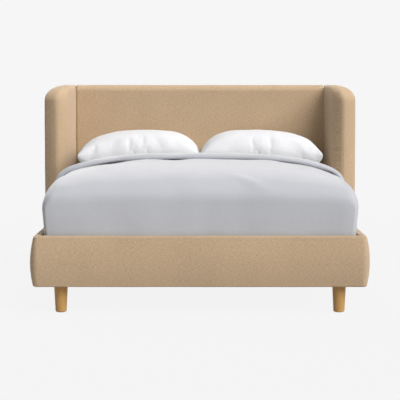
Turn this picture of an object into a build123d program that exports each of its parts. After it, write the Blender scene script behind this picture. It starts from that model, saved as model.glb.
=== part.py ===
from build123d import *
import math
import os

# Upholstered wingback bed for a queen mattress, dressed with a duvet and two pillows.
# Millimetres. X runs across the bed, Y from the foot to the head, Z up from the floor.
# The origin lies on the floor under the middle of the bed.

# Driving sizes
mattress_width = 1524.0
mattress_length = 2032.0
mattress_height = 280.0
deck_height = 310.0
overall_height = 1130.0
rail_below_deck = 177.0
rail_height = 254.0

# Clearances
side_gap = 28.0
foot_gap = 18.0
head_gap = 3.5
soft_gap = 0.3
fit_gap = 0.3
bore_gap = 0.3

# Padded rails: board, foam outside it, fabric folded in over the top
rail_board_thickness = 24.0
rail_foam = 25.0
rail_fabric = 2.5
rail_under_wrap = 4.0
rail_top_wrap = 10.0
rail_fold_in = 60.0
rail_bottom_setback = 12.5
rail_bottom_round = 10.0
rail_top_setback = 14.0
rail_top_round = 16.0
rail_inner_round = 6.0
rail_corner_radius = 40.0
rail_bulge_height_share = 0.54

# Headboard: panel, padding before and above it, cloth behind it
headboard_pad_depth = 55.0
headboard_panel_thickness = 34.0
headboard_back_thickness = 3.0
headboard_top_wrap = 15.0
headboard_top_roll = 40.0
headboard_side_clearance = 11.0
headboard_pad_below_deck = 10.0
headboard_back_inset = 12.0

# Wings
wing_flare = 8.0
wing_outer_flare = 15.0
wing_back_thickness = 96.0
wing_straight = 195.0
wing_nose_radius = 134.0
wing_nose_turn = 52.0
wing_nose_width = 127.0
wing_band_turn = 23.5
wing_edge_round = 30.0
wing_top_outer_round = 50.0
wing_top_inner_round = 34.0
wing_corner_radius = 110.0
wing_corner_steps = 9
wing_seat_gap = 0.5
wing_core_foam = 28.0
wing_core_thickness = 32.0
wing_core_reach = 235.0
wing_core_drop = 45.0
wing_core_corner_radius = 70.0
wing_bolt_height_shares = (0.18, 0.5, 0.82)
wing_bolt_diameter = 8.0
wing_bolt_head_diameter = 16.0
wing_bolt_head_height = 5.0
wing_bolt_grip = 36.0

# Deck: cleats, slats, straps, beam
cleat_width = 30.0
cleat_height = 40.0
cleat_end_gap = 6.0
slat_count = 13
slat_width = 68.0
slat_thickness = 18.0
slat_end_gap = 4.0
slat_foot_margin = 26.0
slat_head_margin = 24.0
strap_width = 25.0
strap_thickness = 1.5
strap_offset = 420.0
beam_width = 45.0
beam_height = 60.0
beam_bracket_sheet = 3.0
beam_bracket_depth = 50.0
beam_bracket_wall = 45.0

# Legs
leg_top_diameter = 68.6
leg_bottom_diameter = 55.4
leg_bottom_chamfer = 3.0
leg_inset = 98.5
leg_setback = 41.0
leg_block_length = 172.0
leg_block_width = 110.0
leg_block_height = 45.0
leg_bolt_diameter = 8.0
leg_bolt_up = 35.0
leg_bolt_down = 40.0
glide_diameter = 40.0
glide_thickness = 2.0

# Centre legs with screw feet
centre_leg_shares = (0.52, 0.80)
centre_leg_width = 42.0
centre_leg_round = 5.0
foot_diameter = 38.0
foot_plate_height = 6.0
foot_edge_chamfer = 1.5
foot_stud_diameter = 10.0
foot_stud_length = 45.0

# Corner brackets and their bolts
bracket_sheet = 3.0
bracket_arm = 62.0
bracket_height = 60.0
bracket_lift = 9.0
bracket_bolt_edge = 15.0
corner_bolt_diameter = 8.0
corner_bolt_head_across = 13.0
corner_bolt_head_height = 5.5
corner_bolt_length = 18.0

# Mattress
mattress_corner_radius = 90.0
mattress_edge_radius = 48.0

# Duvet
duvet_hem_above_deck = 35.0
duvet_side_swell = 26.0
duvet_tuck_in = 12.0
duvet_front_swell = 13.5
duvet_crown = 130.0
duvet_side_height = 195.0
duvet_shoulder_drop = 65.0
duvet_shoulder_inset = 88.0
duvet_roll_share = 0.17
duvet_fold_line = 1400.0
duvet_front_roll = 400.0
duvet_front_slope = 500.0
duvet_front_corner = 45.0
duvet_corner_setback = 32.0
duvet_fold_round = 55.0
duvet_fold_drop = 90.0
duvet_fold_setback = 8.0
duvet_front_top_share = 0.56
duvet_front_inset_share = 0.45
duvet_front_drop_share = 0.18
duvet_front_side_share = 0.85
duvet_fold_shares = (1.0, 0.6, 0.3, 0.1, 0.0)
duvet_roll_power = 1.7
duvet_slope_power = 1.3
duvet_round_power = 2
duvet_step_power = 2.2
duvet_roll_steps = 10
cuff_line = 950.0
cuff_rise = 20.0
cuff_side_swell = 4.0
cuff_hem_round = 14.0
cuff_hem_shares = (0.1, 0.4, 1.0)

# Pillows
pillow_width_share = 0.479
pillow_depth = 490.0
pillow_loft = 265.0
pillow_between = 3.0
pillow_seam_share = 0.45
pillow_base_share = 0.74
pillow_crown_share = 0.6
pillow_crown_drop_share = 0.1

# Worked out from the sizes above
rail_depth = rail_fabric + rail_board_thickness + rail_foam
rail_bottom = deck_height - rail_below_deck
rail_top = rail_bottom + rail_height
board_bottom = rail_bottom + rail_under_wrap
board_top = rail_top - rail_top_wrap
inner_half = mattress_width / 2 + side_gap
headboard_depth = headboard_pad_depth + headboard_panel_thickness + headboard_back_thickness
overall_length = rail_depth + foot_gap + mattress_length + head_gap + headboard_depth
front = -overall_length / 2
back = overall_length / 2
rail_inner_front = front + rail_depth
foot_board_back = rail_inner_front - rail_fabric
headboard_face = back - headboard_depth
panel_front = headboard_face + headboard_pad_depth
panel_back = panel_front + headboard_panel_thickness
headboard_half = mattress_width / 2 + headboard_side_clearance
headboard_pad_bottom = deck_height - headboard_pad_below_deck
board_inner = inner_half + rail_fabric
board_outer = board_inner + rail_board_thickness
slat_bottom = deck_height - slat_thickness
mattress_foot = rail_inner_front + foot_gap
mattress_top = deck_height + mattress_height
duvet_hem_height = deck_height + duvet_hem_above_deck
pillow_width = mattress_width * pillow_width_share
wing_slope = math.radians(wing_flare)
wing_outer_slope = math.radians(wing_outer_flare)
sides = {"left": -1, "right": 1}


# A box between two values on each axis
def block(x_range, y_range, z_range):
    size = [high - low for low, high in (x_range, y_range, z_range)]
    middle = [(low + high) / 2 for low, high in (x_range, y_range, z_range)]
    return Pos(*middle) * Box(*size)


# The same piece on the left or the right of the bed
def on_side(piece, side):
    return piece if sides[side] > 0 else mirror(piece, about=Plane.YZ)


# A round bar from a base point along a direction
def bar(base, direction, diameter, length):
    plane = Plane(origin=base, z_dir=direction)
    return extrude(plane * Circle(diameter / 2), amount=length)


# A quarter arc between two points round a centre
def round_corner(start, end, centre):
    radius = math.dist(start, centre)
    across = [(a + b) / 2 - c for a, b, c in zip(start, end, centre)]
    reach = radius / math.hypot(*across)
    middle = tuple(c + reach * step for c, step in zip(centre, across))
    return ThreePointArc(start, middle, end)


# Outline of a padded rail: distance outward from the inner face, and height
def rail_outline():
    low_out = rail_depth - rail_bottom_setback
    high_out = rail_depth - rail_top_setback
    toe = (low_out - rail_bottom_round, rail_bottom)
    heel = (low_out, rail_bottom + rail_bottom_round)
    bulge = (rail_depth, rail_bottom + rail_bulge_height_share * rail_height)
    shoulder = (high_out, rail_top - rail_top_round)
    crest = (high_out - rail_top_round, rail_top)
    lip = (rail_inner_round, rail_top)
    edge = (0, rail_top - rail_inner_round)
    corner = (0, rail_bottom)
    lines = [
        Line(corner, toe),
        round_corner(toe, heel, (toe[0], heel[1])),
        ThreePointArc(heel, bulge, shoulder),
        round_corner(shoulder, crest, (crest[0], shoulder[1])),
        Line(crest, lip),
        round_corner(lip, edge, (lip[0], edge[1])),
        Line(edge, corner),
    ]
    return make_face(lines)


# Foam and fabric round the side board, from the foot rail to the headboard panel
def side_rail_cover():
    length = panel_front - rail_inner_front
    outline = Plane((inner_half, rail_inner_front, 0), x_dir=(1, 0, 0), z_dir=(0, -1, 0)) * rail_outline()
    shape = extrude(outline, amount=-length)
    y_range = (rail_inner_front, panel_front)
    shape -= block((board_inner, board_outer), y_range, (board_bottom, board_top))
    return shape - block((inner_half, board_inner), y_range, (board_bottom, rail_top - rail_fold_in))


def side_rail_board():
    return block((board_inner, board_outer), (rail_inner_front, panel_front), (board_bottom, board_top))


# Foam and fabric round the foot board, carried round both corners
def foot_rail_cover():
    corner_out = rail_depth - rail_corner_radius
    axis_x = inner_half + corner_out
    axis_y = front + rail_corner_radius
    across = Plane((0, rail_inner_front, 0), x_dir=(0, -1, 0), z_dir=(-1, 0, 0)) * rail_outline()
    shape = extrude(across, amount=axis_x, both=True)
    outside = Pos(corner_out + rail_depth / 2, rail_top / 2) * Rectangle(rail_depth, rail_top)
    end_face = rail_outline() & outside
    end_plane = Plane((inner_half, axis_y, 0), x_dir=(1, 0, 0), z_dir=(0, -1, 0))
    corner = revolve(end_plane * end_face, Axis((axis_x, axis_y, 0), (0, 0, -1)), 90)
    end_return = extrude(end_plane * end_face, amount=axis_y - rail_inner_front)
    for side in sides:
        shape += on_side(corner, side)
        shape += on_side(end_return, side)
    shape -= foot_rail_board()
    x_range = (-board_inner, board_inner)
    z_range = (board_bottom, rail_top - rail_fold_in)
    return shape - block(x_range, (foot_board_back, rail_inner_front), z_range)


def foot_rail_board():
    x_range = (-board_outer, board_outer)
    y_range = (foot_board_back - rail_board_thickness, foot_board_back)
    return block(x_range, y_range, (board_bottom, board_top))


# Half width between the wings at a place along the bed
def half_between_wings(y):
    return headboard_half - (y - headboard_face) * math.tan(wing_slope)


# Upright slab whose side edges follow the wings
def tapered_slab(y_range, z_range, inset):
    near, far = y_range
    corners = [
        (half_between_wings(near) - inset, near),
        (half_between_wings(far) - inset, far),
        (inset - half_between_wings(far), far),
        (inset - half_between_wings(near), near),
    ]
    plan = Plane((0, 0, z_range[0])) * make_face(Polyline(*corners, close=True))
    return extrude(plan, amount=z_range[1] - z_range[0])


# Wide below, where the side rails are bolted to it, and narrower between the wings
def headboard_panel():
    y_range = (panel_front, panel_back)
    foot = block((-board_outer, board_outer), y_range, (board_bottom, board_top))
    upper = tapered_slab(y_range, (board_top, overall_height - headboard_top_wrap), 0)
    return foot + upper - wing_bolt_bores() - corner_bolt_bores()


def headboard_pad():
    z_range = (headboard_pad_bottom, overall_height)
    shape = tapered_slab((headboard_face, panel_back), z_range, 0)
    top_front = shape.edges().group_by(Axis.Z)[-1].sort_by(Axis.Y)[0]
    shape = fillet(top_front, headboard_top_roll)
    y_range = (panel_front, panel_back)
    panel_room = tapered_slab(y_range, (headboard_pad_bottom, overall_height - headboard_top_wrap), 0)
    return shape - panel_room


# Cloth stapled over the whole back of the panel
def headboard_back_cover():
    half = board_outer - headboard_back_inset
    foot = block((-half, half), (panel_back, back), (board_bottom, board_top))
    z_range = (board_top, overall_height - headboard_back_inset)
    return foot + tapered_slab((panel_back, back), z_range, headboard_back_inset)


# Foam and fabric round the end of the panel's wide foot, in line with the side rail
def headboard_end_cover():
    outline = Plane((inner_half, panel_front, 0), x_dir=(1, 0, 0), z_dir=(0, -1, 0)) * rail_outline()
    shape = extrude(outline, amount=panel_front - panel_back)
    return shape - block((0, board_outer), (panel_front, panel_back), (board_bottom, board_top))


# How far a rounded edge draws in at a depth below its top
def drawn_in(radius, depth):
    short = max(0, radius - depth)
    return radius - math.sqrt(radius**2 - short**2)


# Outline of the right wing's padding at a depth below its top: a straight inner side that turns
# outward round the nose to a seam, the front band, a rounded edge and the outer side
def wing_outline(depth):
    inner_in = drawn_in(wing_top_inner_round, depth)
    outer_in = drawn_in(wing_top_outer_round, depth)
    share = 1 - (inner_in + outer_in) / wing_nose_width
    radius = wing_nose_radius * share
    edge_radius = wing_edge_round * share
    shift = inner_in / math.cos(wing_slope)
    turn_y = headboard_face - wing_straight + drawn_in(wing_corner_radius, depth)
    inner_back = (half_between_wings(back) + shift, back)
    nose_start = (half_between_wings(turn_y) + shift, turn_y)

    def nose_point(heading):
        x = nose_start[0] + radius * (math.cos(wing_slope) - math.cos(heading))
        return (x, nose_start[1] - radius * (math.sin(heading) - math.sin(wing_slope)))

    half_turn = math.radians(wing_nose_turn) / 2
    seam = nose_point(wing_slope + 2 * half_turn)
    band = math.radians(wing_band_turn)
    back_x = half_between_wings(back) + wing_back_thickness - outer_in / math.cos(wing_outer_slope)
    lean = math.tan(wing_outer_slope)
    band_run = (back_x + (back - seam[1]) * lean - seam[0]) / (1 + math.tan(band) * lean)
    corner = (seam[0] + band_run, seam[1] + band_run * math.tan(band))
    half_corner = (math.pi / 2 + wing_outer_slope - band) / 2
    cut = edge_radius * math.tan(half_corner)
    edge_start = (corner[0] - cut * math.cos(band), corner[1] - cut * math.sin(band))
    edge_end = (corner[0] - cut * math.sin(wing_outer_slope), corner[1] + cut * math.cos(wing_outer_slope))
    centre = (edge_start[0] - edge_radius * math.sin(band), edge_start[1] + edge_radius * math.cos(band))
    lines = [
        Line(inner_back, nose_start),
        ThreePointArc(nose_start, nose_point(wing_slope + half_turn), seam),
        Line(seam, edge_start),
        round_corner(edge_start, edge_end, centre),
        Line(edge_end, (back_x, back)),
        Line((back_x, back), inner_back),
    ]
    return Plane((0, 0, overall_height - depth)) * make_face(lines)


# Foam and fabric of the wing, rounded over at its top and its front corner
def wing_pad():
    low = rail_top + wing_seat_gap
    steps = [index / wing_corner_steps for index in range(wing_corner_steps + 1)]
    depths = [wing_corner_radius * (1 - math.cos(math.pi / 2 * step)) for step in steps]
    sections = [wing_outline(overall_height - low)] + [wing_outline(depth) for depth in reversed(depths)]
    return loft(sections, ruled=True) - wing_core_room() - wing_bolt_pockets()


# The right wing's own axes: X through its thickness, minus Y forward along it
def wing_place():
    return Pos(headboard_half, headboard_face, 0) * Rot(0, 0, wing_flare)


# Cut off what lies behind an upright plane across the bed
def trim_behind(piece, y):
    return piece - block((0, overall_length), (y, y + overall_length), (0, overall_length))


# Room for the core inside the wing padding, open below
def wing_core_room():
    x_range = (wing_core_foam, wing_core_foam + wing_core_thickness)
    z_range = (rail_top + wing_seat_gap, overall_height - wing_core_drop)
    plate = block(x_range, (-wing_core_reach, headboard_depth + wing_core_reach), z_range)
    front_top = plate.edges().filter_by(Axis.X).group_by(Axis.Y)[0].sort_by(Axis.Z)[-1]
    plate = fillet(front_top, wing_core_corner_radius)
    return trim_behind(wing_place() * plate, panel_back)


def wing_core():
    return wing_core_room() - wing_bolt_bores()


# Middle of the core, across the bed from where the wing meets the headboard
def wing_core_offset():
    return (wing_core_foam + wing_core_thickness / 2) / math.cos(wing_slope)


# Where the right-hand wing bolts seat: the middle of the core, level with the middle of the panel
def wing_bolt_seats():
    y = (panel_front + panel_back) / 2
    x = half_between_wings(y) + wing_core_offset()
    return [(x, y, rail_top + share * (overall_height - rail_top)) for share in wing_bolt_height_shares]


def wing_bolt_shanks(gap):
    seats = wing_bolt_seats()
    length = wing_core_offset() + wing_bolt_grip + gap
    return [bar(seat, (-1, 0, 0), wing_bolt_diameter + 2 * gap, length) for seat in seats]


def wing_bolt_heads(gap, height):
    return [bar(seat, (1, 0, 0), wing_bolt_head_diameter + 2 * gap, height) for seat in wing_bolt_seats()]


def wing_bolts():
    heads = wing_bolt_heads(0, wing_bolt_head_height)
    right = [shank + head for shank, head in zip(wing_bolt_shanks(0), heads)]
    return Compound(right + [mirror(bolt, about=Plane.YZ) for bolt in right])


# Drilled holes for the wing bolts, counterbored from the outside of the cores
def wing_bolt_bores():
    right = wing_bolt_shanks(bore_gap) + wing_bolt_heads(bore_gap, wing_core_thickness)
    return Compound(right + [mirror(bore, about=Plane.YZ) for bore in right])


def wing_bolt_pockets():
    return Compound(wing_bolt_shanks(bore_gap) + wing_bolt_heads(bore_gap, wing_bolt_head_height + bore_gap))


def slat_cleat():
    x_range = (board_inner - cleat_width, board_inner)
    y_range = (rail_inner_front + cleat_end_gap, panel_front - cleat_end_gap)
    return block(x_range, y_range, (slat_bottom - cleat_height, slat_bottom))


def slats():
    half = board_inner - slat_end_gap
    first = rail_inner_front + slat_foot_margin
    last = headboard_face - slat_head_margin - slat_width
    pitch = (last - first) / (slat_count - 1)
    pieces = {}
    for index in range(slat_count):
        start = first + index * pitch
        slat = block((-half, half), (start, start + slat_width), (slat_bottom, deck_height))
        pieces[f"slat_{index + 1:02d}"] = slat
    return pieces


# Two webbing straps that hold the slats at their spacing, under them
def slat_straps():
    y_range = (rail_inner_front + slat_foot_margin, headboard_face - slat_head_margin)
    z_range = (slat_bottom - strap_thickness, slat_bottom)
    x_range = (strap_offset, strap_offset + strap_width)
    right = block(x_range, y_range, z_range)
    return Compound([right, mirror(right, about=Plane.YZ)])


def centre_beam():
    x_range = (-beam_width / 2, beam_width / 2)
    y_range = (foot_board_back + beam_bracket_sheet, panel_front - beam_bracket_sheet)
    return block(x_range, y_range, (slat_bottom - beam_height, slat_bottom))


# Folded sheet pocket on the foot board that the end of the beam drops into
def beam_bracket_foot():
    half_room = beam_width / 2 + fit_gap
    half_out = half_room + beam_bracket_sheet
    floor_top = slat_bottom - beam_height
    floor = floor_top - beam_bracket_sheet
    y_range = (foot_board_back, foot_board_back + beam_bracket_depth)
    shape = block((-half_out, half_out), y_range, (floor, floor + beam_bracket_wall))
    room_y = (foot_board_back + beam_bracket_sheet, y_range[1])
    return shape - block((-half_room, half_room), room_y, (floor_top, floor + beam_bracket_wall))


def beam_bracket_head():
    middle = (foot_board_back + panel_front) / 2
    return mirror(beam_bracket_foot(), about=Plane((0, middle, 0), z_dir=(0, 1, 0)))


# Places of the right-hand leg axes, front and rear
def leg_places():
    x = board_inner - leg_inset
    return {"front": (x, foot_board_back + leg_setback), "rear": (x, panel_front - leg_setback)}


def leg(x, y):
    height = board_bottom - glide_thickness
    shape = Cone(leg_bottom_diameter / 2, leg_top_diameter / 2, height)
    shape = chamfer(shape.edges().sort_by(Axis.Z)[0], leg_bottom_chamfer)
    shape = Pos(x, y, glide_thickness + height / 2) * shape
    return shape - leg_bolt(x, y, bore_gap)


def leg_bolt(x, y, gap):
    base = (x, y, board_bottom - leg_bolt_down - gap)
    return bar(base, (0, 0, 1), leg_bolt_diameter + 2 * gap, leg_bolt_down + leg_bolt_up + 2 * gap)


# Wooden block in the corner of the frame that the leg is screwed to
def leg_block(end):
    x, y = leg_places()[end]
    x_range = (board_inner - leg_block_length, board_inner)
    near = foot_board_back if end == "front" else panel_front - leg_block_width
    z_range = (board_bottom, board_bottom + leg_block_height)
    return block(x_range, (near, near + leg_block_width), z_range) - leg_bolt(x, y, bore_gap)


def leg_bolts():
    right = [leg_bolt(x, y, 0) for x, y in leg_places().values()]
    return Compound(right + [mirror(bolt, about=Plane.YZ) for bolt in right])


def leg_glides():
    right = [bar((x, y, 0), (0, 0, 1), glide_diameter, glide_thickness) for x, y in leg_places().values()]
    return Compound(right + [mirror(glide, about=Plane.YZ) for glide in right])


def centre_leg_y(share):
    return rail_inner_front + share * (headboard_face - rail_inner_front)


# Square post under the beam with a bore for the stud of its screw foot
def centre_leg(share):
    y = centre_leg_y(share)
    low = foot_plate_height + fit_gap
    high = slat_bottom - beam_height
    half = centre_leg_width / 2
    post = block((-half, half), (y - half, y + half), (low, high))
    post = fillet(post.edges().filter_by(Axis.Z), centre_leg_round)
    depth = foot_stud_length + fit_gap
    return post - bar((0, y, low), (0, 0, 1), foot_stud_diameter + 2 * bore_gap, depth)


def levelling_foot(share):
    y = centre_leg_y(share)
    plate = bar((0, y, 0), (0, 0, 1), foot_diameter, foot_plate_height)
    plate = chamfer(plate.edges().sort_by(Axis.Z)[-1], foot_edge_chamfer)
    return plate + bar((0, y, foot_plate_height), (0, 0, 1), foot_stud_diameter, foot_stud_length)


# Heights of the corner brackets on the boards
def bracket_range():
    low = board_bottom + leg_block_height + bracket_lift
    return (low, low + bracket_height)


# Bent steel angle in the inner corner between a side board and an end board
def corner_bracket(end):
    z_range = bracket_range()
    wall = foot_board_back if end == "front" else panel_front
    way = 1 if end == "front" else -1
    side_arm_y = sorted((wall, wall + way * bracket_arm))
    end_arm_y = sorted((wall, wall + way * bracket_sheet))
    shape = block((board_inner - bracket_sheet, board_inner), side_arm_y, z_range)
    shape += block((board_inner - bracket_arm, board_inner), end_arm_y, z_range)
    return shape - corner_bolt_bores()


# Base points and directions of the right-hand corner bolts, at the face of their bracket
def corner_bolt_seats():
    low, high = bracket_range()
    heights = (low + bracket_bolt_edge, high - bracket_bolt_edge)
    face_x = board_inner - bracket_sheet
    seats = []
    for height in heights:
        reach = bracket_arm - bracket_bolt_edge
        front_face = foot_board_back + bracket_sheet
        rear_face = panel_front - bracket_sheet
        seats.append(((face_x, foot_board_back + reach, height), (1, 0, 0)))
        seats.append(((face_x, panel_front - reach, height), (1, 0, 0)))
        seats.append(((board_inner - reach, front_face, height), (0, -1, 0)))
        seats.append(((board_inner - reach, rear_face, height), (0, 1, 0)))
    return seats


def corner_bolts():
    right = []
    for base, direction in corner_bolt_seats():
        shank = bar(base, direction, corner_bolt_diameter, corner_bolt_length)
        back_way = tuple(-step for step in direction)
        flats = Plane(origin=base, z_dir=back_way) * RegularPolygon(corner_bolt_head_across / 2, 6, False)
        right.append(shank + extrude(flats, amount=corner_bolt_head_height))
    return Compound(right + [mirror(bolt, about=Plane.YZ) for bolt in right])


def corner_bolt_bores():
    width = corner_bolt_diameter + 2 * bore_gap
    right = [bar(base, way, width, corner_bolt_length + bore_gap) for base, way in corner_bolt_seats()]
    return Compound(right + [mirror(bore, about=Plane.YZ) for bore in right])


# Mattress body, grown outward by a margin where the duvet's hollow is cut to fit it
def mattress_shape(margin):
    half = mattress_width / 2 + margin
    y_range = (mattress_foot - margin, mattress_foot + mattress_length)
    shape = block((-half, half), y_range, (deck_height, mattress_top + margin))
    shape = fillet(shape.edges().filter_by(Axis.Z), mattress_corner_radius + margin)
    top = shape.edges().group_by(Axis.Z)[-1]
    return fillet(top, mattress_edge_radius + margin)


# Cross-section of the duvet: upright sides, rolled shoulders and a low crown
def duvet_section(y, half, side_rise, top_height, shoulder_inset, shoulder_drop):
    foot = (half - duvet_tuck_in, duvet_hem_height)
    side = (half, duvet_hem_height + side_rise)
    shoulder = (half - shoulder_inset, top_height - shoulder_drop)
    chord = (shoulder[0] - side[0], shoulder[1] - side[1])
    roll = (
        side[0] + chord[0] / 2 + duvet_roll_share * chord[1],
        side[1] + chord[1] / 2 - duvet_roll_share * chord[0],
    )
    left_foot, left_side, left_roll, left_shoulder = ((-x, z) for x, z in (foot, side, roll, shoulder))
    lines = [
        Line(foot, side),
        ThreePointArc(side, roll, shoulder),
        ThreePointArc(shoulder, (0, top_height), left_shoulder),
        ThreePointArc(left_shoulder, left_roll, left_side),
        Line(left_side, left_foot),
        Line(left_foot, foot),
    ]
    return Plane((0, y, 0), x_dir=(1, 0, 0), z_dir=(0, -1, 0)) * make_face(lines)


# From 0 to 1 over a reach, steep at first and level at its end
def ease(distance, reach, power):
    left = max(0, 1 - distance / reach)
    return (1 - left**power) ** (1 / power)


# One section at a distance behind the duvet's front
def duvet_section_at(distance, run):
    roll = ease(distance, duvet_front_roll, duvet_roll_power)
    slope = ease(distance, duvet_front_slope, duvet_slope_power)
    corner = ease(distance, duvet_front_corner, duvet_round_power)
    fold = ease(run - distance, duvet_fold_round, duvet_round_power)
    cuff_start = run - (duvet_fold_line - cuff_line)
    cuff = ease(distance - cuff_start, cuff_hem_round, duvet_round_power) if distance > cuff_start else 0
    full_height = mattress_top + duvet_crown - duvet_hem_height
    low_share = duvet_front_top_share + (1 - duvet_front_top_share) * roll
    top_height = duvet_hem_height + full_height * low_share + cuff_rise * cuff - duvet_fold_drop * (1 - fold)
    inset_share = duvet_front_inset_share + (1 - duvet_front_inset_share) * roll
    drop_share = duvet_front_drop_share + (1 - duvet_front_drop_share) * slope
    side_share = duvet_front_side_share + (1 - duvet_front_side_share) * slope
    half = mattress_width / 2 + duvet_side_swell + cuff_side_swell * cuff
    half -= duvet_corner_setback * (1 - corner) + duvet_fold_setback * (1 - fold)
    return duvet_section(
        front + duvet_fold_line - run + distance,
        half,
        duvet_side_height * side_share,
        top_height,
        duvet_shoulder_inset * inset_share,
        duvet_shoulder_drop * drop_share,
    )


# Through sections that crowd together at the front roll, the cuff's hem and the fold
def duvet():
    start = mattress_foot - duvet_front_swell
    run = front + duvet_fold_line - start
    cuff_start = run - (duvet_fold_line - cuff_line)
    steps = [index / duvet_roll_steps for index in range(duvet_roll_steps + 1)]
    places = [duvet_front_roll * step**duvet_step_power for step in steps]
    places += [(duvet_front_roll + cuff_start) / 2, cuff_start]
    places += [cuff_start + cuff_hem_round * share for share in cuff_hem_shares]
    places += [run - duvet_fold_round * share for share in duvet_fold_shares]
    return loft([duvet_section_at(place, run) for place in places], ruled=True) - mattress_shape(soft_gap)


# Cross-section of a pillow across its depth: flat below, full sides and a crowned top
def pillow_section(x, depth, low, high):
    half = depth / 2
    seam = (half, low + pillow_seam_share * (high - low))
    base = (half * pillow_base_share, low)
    crown = (half * pillow_crown_share, high - pillow_crown_drop_share * (high - low))
    left_seam, left_base, left_crown = ((-y, z) for y, z in (seam, base, crown))
    lines = [
        Line(left_base, base),
        ThreePointArc(base, seam, crown),
        ThreePointArc(crown, (0, high), left_crown),
        ThreePointArc(left_crown, left_seam, left_base),
    ]
    return Plane((x, 0, 0), x_dir=(0, 1, 0), z_dir=(1, 0, 0)) * make_face(lines)


# From the pillow's middle to its end: place, depth, underside and top
pillow_shares = (
    (0.0, 0.975, 0.0, 1.0),
    (0.33, 0.98, 0.0, 0.995),
    (0.56, 0.985, 0.0, 0.94),
    (0.75, 0.99, 0.02, 0.84),
    (0.88, 0.99, 0.07, 0.73),
    (0.96, 0.96, 0.16, 0.62),
    (1.0, 0.90, 0.30, 0.49),
)


def pillow():
    low = mattress_top
    left_end = [(-along, *rest) for along, *rest in reversed(pillow_shares[1:])]
    sections = []
    for along, depth, under, over in left_end + list(pillow_shares):
        x = along * pillow_width / 2
        heights = (low + under * pillow_loft, low + over * pillow_loft)
        sections.append(pillow_section(x, pillow_depth * depth, *heights))
    middle_x = (pillow_width + pillow_between) / 2
    middle_y = headboard_face - head_gap - pillow_depth / 2
    shape = Pos(middle_x, middle_y, 0) * loft(sections, ruled=True)
    y_range = (middle_y - pillow_depth, middle_y + pillow_depth)
    return shape - block((-pillow_width, 2 * pillow_width), y_range, (0, low))


def frame_pieces():
    pieces = {
        "headboard_panel": headboard_panel(),
        "headboard_pad": headboard_pad(),
        "headboard_back_cover": headboard_back_cover(),
        "foot_rail_board": foot_rail_board() - corner_bolt_bores(),
        "foot_rail_cover": foot_rail_cover(),
        "wing_bolts": wing_bolts(),
        "slat_straps": slat_straps(),
        "centre_beam": centre_beam(),
        "beam_bracket_foot": beam_bracket_foot(),
        "beam_bracket_head": beam_bracket_head(),
        "leg_bolts": leg_bolts(),
        "leg_glides": leg_glides(),
        "corner_bolts": corner_bolts(),
    }
    pieces.update(slats())
    for name, share in zip(("middle", "rear"), centre_leg_shares):
        pieces[f"centre_leg_{name}"] = centre_leg(share)
        pieces[f"levelling_foot_{name}"] = levelling_foot(share)
    return pieces


def paired_pieces():
    board = side_rail_board() - corner_bolt_bores()
    cover = side_rail_cover()
    right = {
        "side_rail_board": board,
        "side_rail_cover": cover,
        "headboard_end_cover": headboard_end_cover(),
        "wing_core": wing_core(),
        "wing_pad": wing_pad(),
        "slat_cleat": slat_cleat(),
        "pillow": pillow(),
    }
    for end, (x, y) in leg_places().items():
        right[f"leg_{end}"] = leg(x, y)
        right[f"leg_block_{end}"] = leg_block(end)
        right[f"corner_bracket_{end}"] = corner_bracket(end)
    return {f"{name}_{side}": on_side(piece, side) for name, piece in right.items() for side in sides}


def bedding():
    return {"mattress": mattress_shape(0), "duvet": duvet()}


os.makedirs("parts", exist_ok=True)
for name, piece in {**frame_pieces(), **paired_pieces(), **bedding()}.items():
    export_step(piece, f"parts/{name}.step")
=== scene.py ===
import math
import bmesh
import bpy
import numpy as np
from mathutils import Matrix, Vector, noise


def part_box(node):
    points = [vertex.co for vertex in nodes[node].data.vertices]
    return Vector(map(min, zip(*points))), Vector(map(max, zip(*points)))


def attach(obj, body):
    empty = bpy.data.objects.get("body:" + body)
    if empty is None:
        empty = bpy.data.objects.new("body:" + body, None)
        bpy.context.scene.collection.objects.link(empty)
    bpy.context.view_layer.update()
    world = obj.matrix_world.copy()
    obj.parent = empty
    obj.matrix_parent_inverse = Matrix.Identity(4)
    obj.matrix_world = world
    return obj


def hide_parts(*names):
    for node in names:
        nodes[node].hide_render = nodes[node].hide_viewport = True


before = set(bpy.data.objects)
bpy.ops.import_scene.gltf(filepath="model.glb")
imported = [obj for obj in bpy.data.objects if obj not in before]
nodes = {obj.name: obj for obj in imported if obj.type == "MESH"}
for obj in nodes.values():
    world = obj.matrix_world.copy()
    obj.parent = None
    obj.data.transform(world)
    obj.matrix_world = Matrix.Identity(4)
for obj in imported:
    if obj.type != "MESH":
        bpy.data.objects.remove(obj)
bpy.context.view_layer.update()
sides = {"left": -1, "right": 1}
print("frame loaded")


# a screen colour, each part 0 to 255, as the linear colour that the nodes take
def toLinear(red, green, blue):
    parts = [value / 255 for value in (red, green, blue)]
    return tuple(v / 12.92 if v <= 0.04045 else ((v + 0.055) / 1.055) ** 2.4 for v in parts) + (1.0,)


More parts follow.
